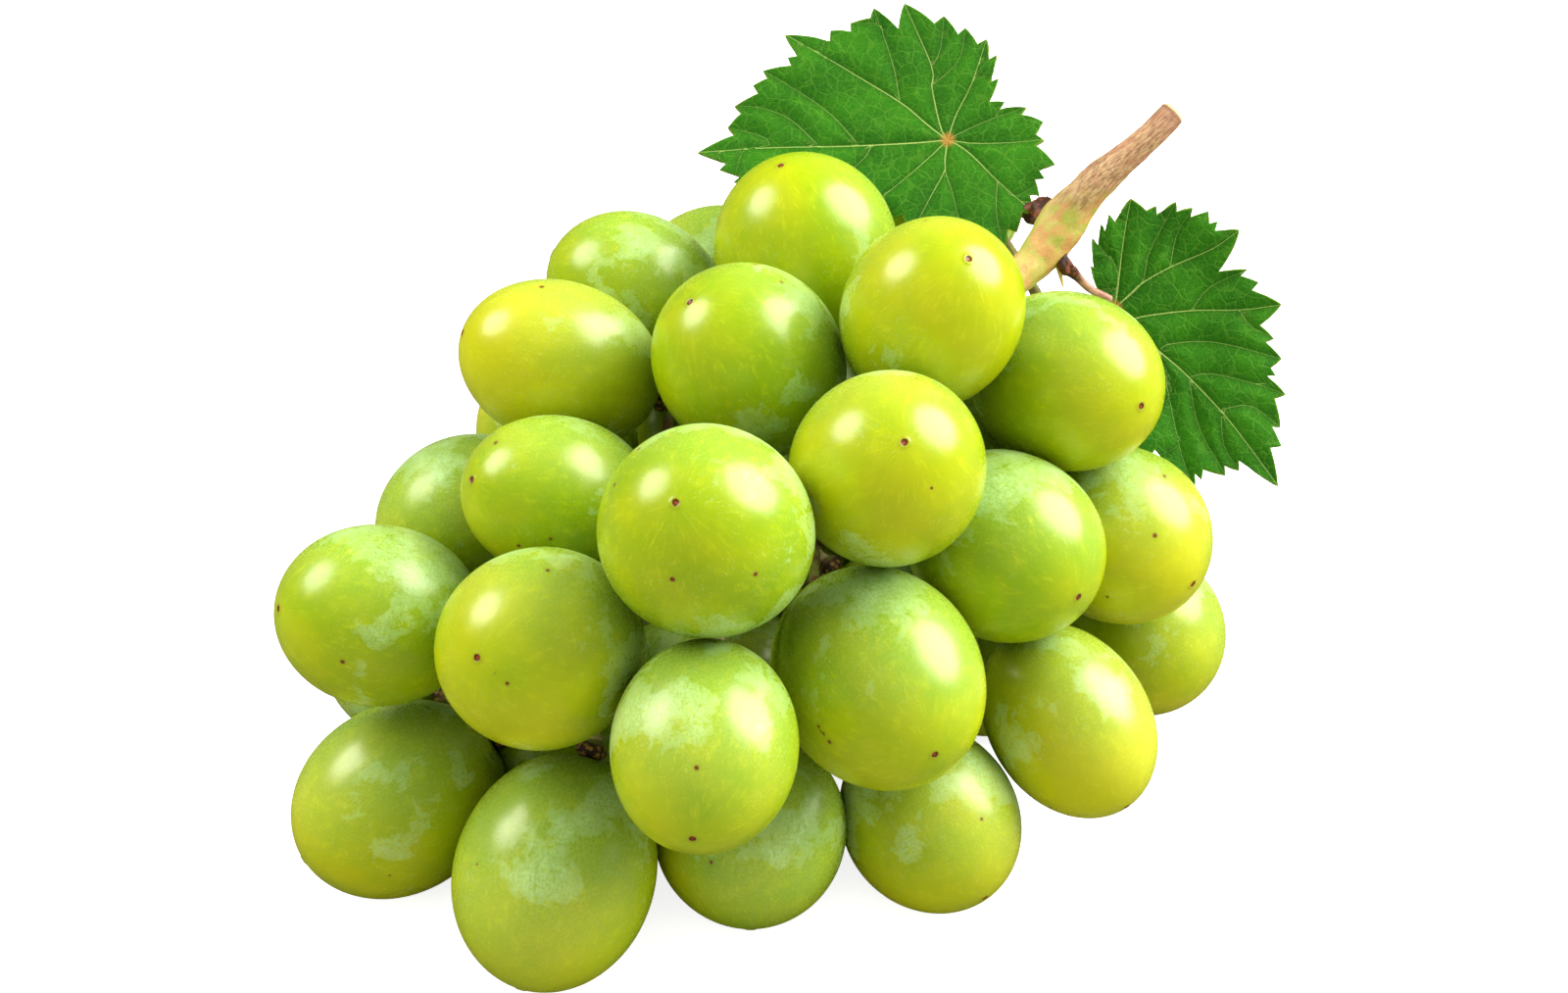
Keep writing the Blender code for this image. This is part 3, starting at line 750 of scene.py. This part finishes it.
def make_stem(berries, finish):
    """The main stem: rounded rings along its path, with ribs, a knuckle, and a pale cut end."""
    path, radius = shifted_path(MAIN_STEM, 0.3)
    reach = reach_along(path)
    turn = turns(AROUND_STEM)[None, :]
    ribs = (
        0.025 * np.sin(5.0 * turn + reach[:, None] * 0.09)
        + 0.02 * np.sin(9.0 * turn + 1.0 - reach[:, None] * 0.05)
    )
    rings, across, forward = carry(path, radius, AROUND_STEM)
    lumps = ripple(rings, 5, 9.0, 4) * 0.10
    knuckle = np.exp(-((reach - KNUCKLE_AT) / 2.4) ** 2)[:, None] * (0.02 + 0.12 * np.cos(2.0 * turn + 0.6))
    fuller = 0.22 * np.exp(-((reach - FULL_AT) / 4.5) ** 2)[:, None]
    swell = 1.0 + ribs + lumps + knuckle + fuller
    rings = path[:, None] + across * (radius[:, None] * swell)[..., None]
    share, inward, kind = np.array(CUT_END).T[..., None, None]
    cut = path[0] + (rings[0] - path[0]) * share + forward[0] * inward
    rings = np.concatenate([cut, rings])
    along = np.concatenate([np.zeros(len(cut)), reach])
    part = np.concatenate([kind.ravel(), np.zeros(len(reach))])
    marks = marks_on(along, AROUND_STEM, part)
    shells = Shells()
    shells.add(rings, path[0] - forward[0] * 0.1, path[-1] + forward[-1] * 0.3, marks)
    stem = even_steps(np.array(MAIN_STEM[BRANCHES_FROM:])[:, :3] + SHIFT, BRANCH_SPACING)
    for number, (berry, stalk) in enumerate(grow_stalks(berries, stem)):
        add_stalk(shells, berry, stalk, number)
    piece("vine_stem", shells.mesh("vine_stem", "grown"), finish, "stem_bark", "stem")


# ---- leaves

# Each leaf: where its stalk meets the blade, the way its upper face looks, the tips of its teeth
# and the deep dips between its lobes as (angle, reach), and its veins as a half width and the
# same kind of points.
UPPER_LEAF = {
    "joint": (36.4, 18.5, 63.1),
    "faces": (-140, 55),
    "teeth": (
        (8, 12), (20, 12), (33, 10.5), (45, 8.5), (62, 10), (72, 12.5), (81, 14), (93, 15), (103, 16.5),
        (118, 19), (129, 20), (139, 20), (146, 21), (156, 25), (162, 23), (169, 25), (174, 25.5),
        (181, 27), (187, 27.5), (194, 31), (199, 28.5), (203, 27), (213, 17), (222, 13), (234, 12.5),
        (248, 12.5), (262, 13), (276, 13.5), (290, 14.5), (306, 17), (315, 15.5), (327, 15), (336, 14),
        (345, 13.5), (354, 14),
    ),
    "dips": ((124, 16), (53, 7), (208, 16)),
    "cup": 0.003,
    "veins": (
        (0.14, (195, 4), (194, 11), (193, 22), (194, 31)),
        (0.07, (194, 11), (176, 15.5), (170, 22), (169, 25)),
        (0.07, (193, 16), (182, 20), (180, 24), (181, 27)), (0.06, (193, 22), (189, 23), (187, 27.5)),
        (0.07, (195, 9.5), (203, 10.5), (212, 14)), (0.13, (152, 3), (150, 8), (154, 15.5), (156, 25)),
        (0.07, (150, 8), (135, 12.5), (129, 20)), (0.12, (129, 2), (117, 7.5), (113, 10), (118, 19)),
        (0.06, (113, 10), (106, 12), (103, 16.5)), (0.06, (117, 7.5), (94, 10.5), (93, 15)),
        (0.11, (84, 3.5), (79, 8), (81, 14)), (0.10, (0, 3), (5, 7), (8, 12)),
        (0.12, (340, 2), (333, 4.5), (328, 8.5), (327, 15)), (0.06, (328, 8.5), (312, 12), (306, 17)),
        (0.11, (273, 2.5), (277, 4), (266, 8), (262, 13)), (0.07, (277, 4), (286, 7), (290, 14)),
        (0.10, (236, 3.5), (235, 7.5), (234, 12)), (0.07, (40, 2), (36, 6), (33, 10.5)),
    ),
    "seed": 3,
}
SIDE_LEAF = {
    "joint": (43.6, -6.8, 49.2),
    "faces": (-118, 36),
    "teeth": (
        (6, 18), (12, 17), (28, 18), (36, 16.5), (42, 16.5), (48, 15.5), (56, 15), (64, 13.5), (78, 13.5),
        (90, 11.5), (96, 10.5), (104, 9), (116, 6), (140, 3.5), (165, 3), (200, 4), (220, 6), (238, 8),
        (252, 11), (266, 15), (278, 19), (289, 24.5), (292, 23.5), (299, 24.5), (303, 25), (308, 29.5),
        (316, 26.5), (320, 25), (329, 23.5), (333, 21.5), (339, 21.5), (345, 20), (357, 20.5),
    ),
    "dips": ((15, 13.5), (349, 18), (114, 5.5)),
    "cup": 0.004,
    "veins": (
        (0.14, (314, 4.5), (312, 7.5), (313, 12.5), (311, 20), (308, 29.5)),
        (0.07, (312, 7.5), (322, 8), (337, 13), (339, 21.5)),
        (0.07, (312, 7.5), (298, 12.5), (290, 20), (289, 24.5)),
        (0.06, (313, 12.5), (322, 14.5), (328, 20.5), (329, 23.5)),
        (0.06, (313, 12.5), (301, 18), (299, 24.5)),
        (0.06, (312, 18), (304, 21.5), (303, 25)), (0.06, (312, 18), (320, 20.5), (320, 25)),
        (0.13, (323, 2.5), (342, 4), (354, 9.5), (355, 15.5), (357, 20.5)),
        (0.06, (354, 9.5), (8, 12), (12, 17)), (0.06, (354, 15.5), (348, 17), (345, 20)),
        (0.13, (37, 2), (38, 4.5), (32, 8.5), (27, 14), (28, 18)), (0.07, (38, 4.5), (54, 8), (56, 15)),
        (0.06, (32, 8.5), (46, 12), (48, 15.5)), (0.12, (77, 2.5), (79, 8.5), (78, 13.5)),
        (0.07, (81, 4.5), (92, 6), (104, 9)),
    ),
    "seed": 4,
}
LEAF_SPOKES = 520
LEAF_RINGS = 60
LEAF_THICKNESS = 0.35
NOTCH = 1.0              # how far a notch lies inside the shorter of its two teeth
TOOTH_VEIN = 0.045       # half width of the fine vein in a tooth that no listed vein reaches
VEIN_BATCHES = 12        # the blade's points are measured in this many lots, to save memory


def on_blade(angle, reach):
    """A flat place from its angle in degrees and its reach."""
    return np.array([math.cos(math.radians(angle)), math.sin(math.radians(angle))]) * reach


def leaf_margin(leaf):
    """The margin as (angle, reach) rows: every tooth tip, and a notch or a deep dip after it.

    A notch lies 7/10 of the way towards the shorter of its two teeth, and NOTCH inside it.
    """
    teeth = sorted(leaf["teeth"])
    rows = list(teeth) + list(leaf["dips"])
    for (angle, reach), (turn, far) in zip(teeth, teeth[1:] + [(teeth[0][0] + 360, teeth[0][1])]):
        if not any(angle < dip % 360 < turn for dip, _ in leaf["dips"]):
            share = 0.7 if far < reach else 0.3
            rows.append(((angle + (turn - angle) * share) % 360, min(reach, far) - NOTCH))
    return sorted(rows)


def vein_lines(leaf):
    """Every vein cut into short straight pieces: their starts, ends and half widths.

    A listed vein is a curve through its points that thins towards its end. A tooth that no listed
    vein reaches gets a fine one, which leaves the nearest vein that already heads its way.
    """
    starts, ends, widths = [], [], []

    def draw_vein(knots, wide):
        line = curve_through(np.column_stack([knots, np.zeros(len(knots))]), 1.3)[:, :2]
        starts.append(line[:-1])
        ends.append(line[1:])
        widths.append(wide * np.linspace(0.8, 0.4, len(line) - 1))

    for wide, *points in leaf["veins"]:
        knots = [on_blade(*point) for point in points]
        if points[0][1] <= 4.5:
            knots = [np.zeros(2)] + knots
        draw_vein(np.array(knots), wide)
    start, end = np.vstack(starts), np.vstack(ends)
    forward = unit(end - start)
    for tooth in leaf["teeth"]:
        tip = on_blade(*tooth)
        gap = tip - end
        far = np.linalg.norm(gap, axis=1)
        if far.min() > 1.2:
            ahead = np.einsum("ij,ij->i", gap, forward) / far
            pick = (far * (2.4 - 1.4 * ahead) + 8.0 * (far < 2.5)).argmin()
            bend = end[pick] + forward[pick] * far[pick] * 0.35
            draw_vein(np.array([end[pick], bend, tip]), TOOTH_VEIN)
    return np.vstack(starts), np.vstack(ends), np.concatenate(widths)


def vein_field(flat, lines):
    """For points on the flat blade: signed and plain distance to the nearest vein, and its half width."""
    start, end, wide = lines
    along = end - start
    size = np.einsum("ij,ij->i", along, along)
    fields = []
    for part in np.array_split(flat, VEIN_BATCHES):
        offset = part[:, None] - start[None]
        share = np.clip(np.einsum("pij,ij->pi", offset, along) / size, 0.0, 1.0)
        distance = np.linalg.norm(offset - share[..., None] * along, axis=2)
        nearest = (distance - wide).argmin(axis=1)
        rows = np.arange(len(part))
        chosen = along[nearest]
        cross = chosen[:, 0] * offset[rows, nearest, 1] - chosen[:, 1] * offset[rows, nearest, 0]
        plain = distance[rows, nearest]
        fields.append(np.stack([np.sign(cross) * plain, plain, wide[nearest]], axis=1))
    return np.vstack(fields)


def make_leaf(name, leaf, finish, node):
    """A polar grid round the joint, out to a toothed margin.

    Reach is the margin's reach at that angle times the ring's share, bunched towards the margin. The
    blade rises as cup * reach^2, ripples, swells between its veins, and dips along them.
    """
    facing = direction(*leaf["faces"])
    right = unit(np.cross([0.0, 0.0, 1.0], facing))
    up = np.cross(facing, right)
    joint = np.array(leaf["joint"]) + SHIFT
    rows = np.array(leaf_margin(leaf), float)
    knots = np.radians(rows[:, 0])
    even = np.linspace(0.0, 2.0 * math.pi, LEAF_SPOKES - len(rows), endpoint=False)
    angles = np.sort(np.concatenate([knots, even]))
    reach = np.interp(angles, knots, rows[:, 1], period=2.0 * math.pi)
    share = np.linspace(0.0, 1.0, LEAF_RINGS + 1)[1:] ** 0.9
    radius = share[:, None] * reach[None, :]
    flat = np.stack([radius * np.cos(angles), radius * np.sin(angles)], -1)
    flat_points = np.vstack([np.zeros((1, 2)), flat.reshape(-1, 2)])
    field = vein_field(flat_points, vein_lines(leaf))
    far = np.linalg.norm(flat_points, axis=1)
    wave = ripple(np.column_stack([flat_points, np.zeros(len(flat_points))]), leaf["seed"], 14.0, 2)
    lift = leaf["cup"] * far ** 2 + wave * 0.35 * smoothstep(far, 3.0, 12.0)
    from_vein = field[:, 1]
    lift = lift + 0.30 * smoothstep(from_vein, 0.0, 1.8) - 0.10 * np.exp(-(from_vein / 0.3) ** 2) - 0.25
    grown = joint + np.outer(flat_points[:, 0], right) + np.outer(flat_points[:, 1], up)
    grown = grown + np.outer(lift, facing)
    inset = np.concatenate([[reach.mean()], ((1.0 - share[:, None]) * reach[None, :]).ravel()])
    blade = np.column_stack([flat_points, inset])
    count = len(angles)
    quads, fans = closed_faces(LEAF_RINGS, count)
    quads, triangles = quads[:, [0, 3, 2, 1]], fans[:count, [0, 2, 1]]
    mesh = mesh_from(name, grown, quads, triangles, {"vein": field, "blade": blade})
    made = piece(name, mesh, finish, "leaf_blade", node)
    shell = made.modifiers.new("thickness", "SOLIDIFY")
    shell.thickness = LEAF_THICKNESS * MM
    shell.offset = -1.0


# Leaf stalks, from their feet in the stem to their blades, as (x, y, z, radius).
UPPER_LEAF_STALK = (
    (40, 2.6, 59.2, 1.7), (40, 4.5, 58.4, 1.6), (40.1, 6.5, 57.4, 1.1), (40.3, 9.5, 57.2, 0.7),
    (40.3, 13, 58, 0.6), (39, 17.5, 60, 0.6), (37.3, 18.8, 61.6, 0.6),
)
SIDE_LEAF_STALK = (
    (38.1, -3.5, 55.8, 0.9), (39.3, -4.2, 54.2, 0.6), (40.8, -5.2, 52.2, 0.5), (42.8, -6.7, 50.7, 0.5),
)
# The shrivelled golden bract that hangs by the knuckle.
BRACT = ((37.3, -3.0, 55.6, 0.30), (37.2, -3.7, 54.8, 0.26), (37.0, -4.5, 53.8, 0.12))


def make_leaf_stalk(name, routes, finish, node, seed):
    """Ribbed tubes along their routes, wrinkled at their feet, which reach into the stem."""
    shells = Shells()
    for number, route in enumerate(routes):
        path, radius = shifted_path(route, 0.25)
        into = unit(path[0] - path[1])
        path = np.vstack([path[0] + into * 1.2, path[0] + into * 0.6, path])
        radius = np.concatenate([radius[:1], radius[:1], radius])
        reach = reach_along(path)
        share = reach / reach[-1]
        rings, across, forward = carry(path, radius, AROUND_FOOT)
        shrivelled = (1.0 - smoothstep(share, 0.15, 0.5))[:, None]
        wrinkles = ripple(rings, seed + number, 2.6, 4) * 0.34 * shrivelled
        ribs = 0.03 * np.sin(5.0 * turns(AROUND_FOOT))[None, :]
        rings = rings + across * (wrinkles + ribs)[..., None] * radius[:, None, None]
        marks = marks_on(reach, AROUND_FOOT, share + 2.0 * number)
        shells.add(rings, path[0] - forward[0] * 0.4, path[-1] + forward[-1] * 0.3, marks)
    piece(name, shells.mesh(name, "grown"), finish, "leaf_stalk", node)


# ---- studio

ROOM_LIGHT = 1.06
ROOM_MIRRORED = 0.09     # the same room, as it looks in a reflection
LAMP_AWAY = 0.9          # metres


def grey(shade):
    """A grey as a colour with alpha."""
    return (shade, shade, shade, 1.0)


def make_floor():
    """A plain pale floor, larger than any view of the bunch.

    It throws back less light than it shows, and it is darker still where the berries mirror it.
    """
    half = 4.0
    corners = [(-half, -half, 0), (half, -half, 0), (half, half, 0), (-half, half, 0)]
    mesh = bpy.data.meshes.new("floor")
    mesh.from_pydata(corners, [], [(0, 1, 2, 3)])
    floor = bpy.data.objects.new("floor", mesh)
    bpy.context.scene.collection.objects.link(floor)
    paint = Paint("pale floor", Base_Color=grey(0.38), Roughness=0.8, Specular_IOR_Level=0.1)
    nodes, links = paint.tree.nodes, paint.tree.links
    dim, bright = nodes.new("ShaderNodeBsdfPrincipled"), nodes.new("ShaderNodeBsdfPrincipled")
    for shader, shade in ((dim, 0.05), (bright, 0.86)):
        shader.inputs["Base Color"].default_value = grey(shade)
        shader.inputs["Roughness"].default_value = 0.8
    bright.inputs["Emission Color"].default_value = grey(1.0)
    bright.inputs["Emission Strength"].default_value = 0.8
    ray = nodes.new("ShaderNodeLightPath")
    surface = paint.shader.outputs[0]
    for kind, shader in (("Is Glossy Ray", dim), ("Is Camera Ray", bright)):
        blend = nodes.new("ShaderNodeMixShader")
        links.new(ray.outputs[kind], blend.inputs[0])
        links.new(surface, blend.inputs[1])
        links.new(shader.outputs[0], blend.inputs[2])
        surface = blend.outputs[0]
    links.new(surface, nodes["Material Output"].inputs["Surface"])
    mesh.materials.append(paint.material)


def add_softbox(name, turn, rise, width, height, power):
    """A rounded soft light that faces the bunch: its direction in degrees, size in metres, and watts."""
    light = bpy.data.lights.new(name, "AREA")
    light.shape = "ELLIPSE"
    light.size, light.size_y = width, height
    light.energy = power
    lamp = bpy.data.objects.new(name, light)
    bpy.context.scene.collection.objects.link(lamp)
    way = Vector(direction(turn, rise))
    facing = way.to_track_quat("Z", "Y").to_matrix().to_4x4()
    target = Vector((0.0, 0.0, 0.035))
    lamp.matrix_world = Matrix.Translation(target + way * LAMP_AWAY) @ facing


def make_studio():
    """Two large softboxes to the left and right, and an even white room, dimmer where it is mirrored."""
    add_softbox("left softbox", 128, 40, 0.54, 0.50, 5.9)
    add_softbox("right softbox", -19, 37.5, 0.78, 0.86, 17.5)
    world = bpy.data.worlds.new("room")
    bpy.context.scene.world = world
    world.use_nodes = True
    tree = world.node_tree
    sky = tree.nodes["Background"]
    sky.inputs["Color"].default_value = grey(1.0)
    ray = tree.nodes.new("ShaderNodeLightPath")
    share = tree.nodes.new("ShaderNodeMapRange")
    share.inputs["To Min"].default_value = ROOM_LIGHT
    share.inputs["To Max"].default_value = ROOM_MIRRORED
    tree.links.new(ray.outputs["Is Glossy Ray"], share.inputs["Value"])
    tree.links.new(share.outputs["Result"], sky.inputs["Strength"])
    bpy.context.scene.view_settings.view_transform = "Standard"


def make_camera():
    """A long lens, 480 mm from the bunch, to its left and in front of it, looking down on it."""
    turn, rise, distance = 235.0, 38.0, 480.0
    aim = np.array([2.795, 2.33, 34.03])
    back = direction(turn, rise)
    right = direction(turn + 90.0, 0.0)
    up = np.cross(back, right)
    camera = bpy.data.cameras.new("camera")
    camera.lens = 90.72
    camera.sensor_width = 36.0
    holder = bpy.data.objects.new("camera", camera)
    bpy.context.scene.collection.objects.link(holder)
    facing = Matrix((right, up, back)).transposed().to_4x4()
    holder.matrix_world = Matrix.Translation(Vector((aim + back * distance) * MM)) @ facing
    bpy.context.scene.camera = holder


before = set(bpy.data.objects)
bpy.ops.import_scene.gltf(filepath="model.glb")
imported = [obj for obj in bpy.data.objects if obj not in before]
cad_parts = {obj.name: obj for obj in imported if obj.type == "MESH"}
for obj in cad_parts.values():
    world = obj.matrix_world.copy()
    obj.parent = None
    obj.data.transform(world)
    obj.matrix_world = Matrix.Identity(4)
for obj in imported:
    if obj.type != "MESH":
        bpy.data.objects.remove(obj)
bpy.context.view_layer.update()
stem_line = even_steps(np.array(MAIN_STEM)[:, :3] + SHIFT, 1.0)
all_berries = [Berry(node, stem_line) for node in sorted(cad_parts) if node.startswith("berry_")]
make_berries(all_berries)
make_stem(all_berries, stem_finish())
leaf_paint = leaf_finish()
make_leaf("vine_leaf_upper", UPPER_LEAF, leaf_paint, "leaf_upper")
make_leaf("vine_leaf_side", SIDE_LEAF, leaf_paint, "leaf_side")
stalk_paint = leaf_stalk_finish()
make_leaf_stalk("leaf_foot_upper", [UPPER_LEAF_STALK], stalk_paint, "leaf_stalk_upper", 11)
make_leaf_stalk("leaf_foot_side", [SIDE_LEAF_STALK, BRACT], stalk_paint, "leaf_stalk_side", 12)
make_floor()
make_studio()
make_camera()
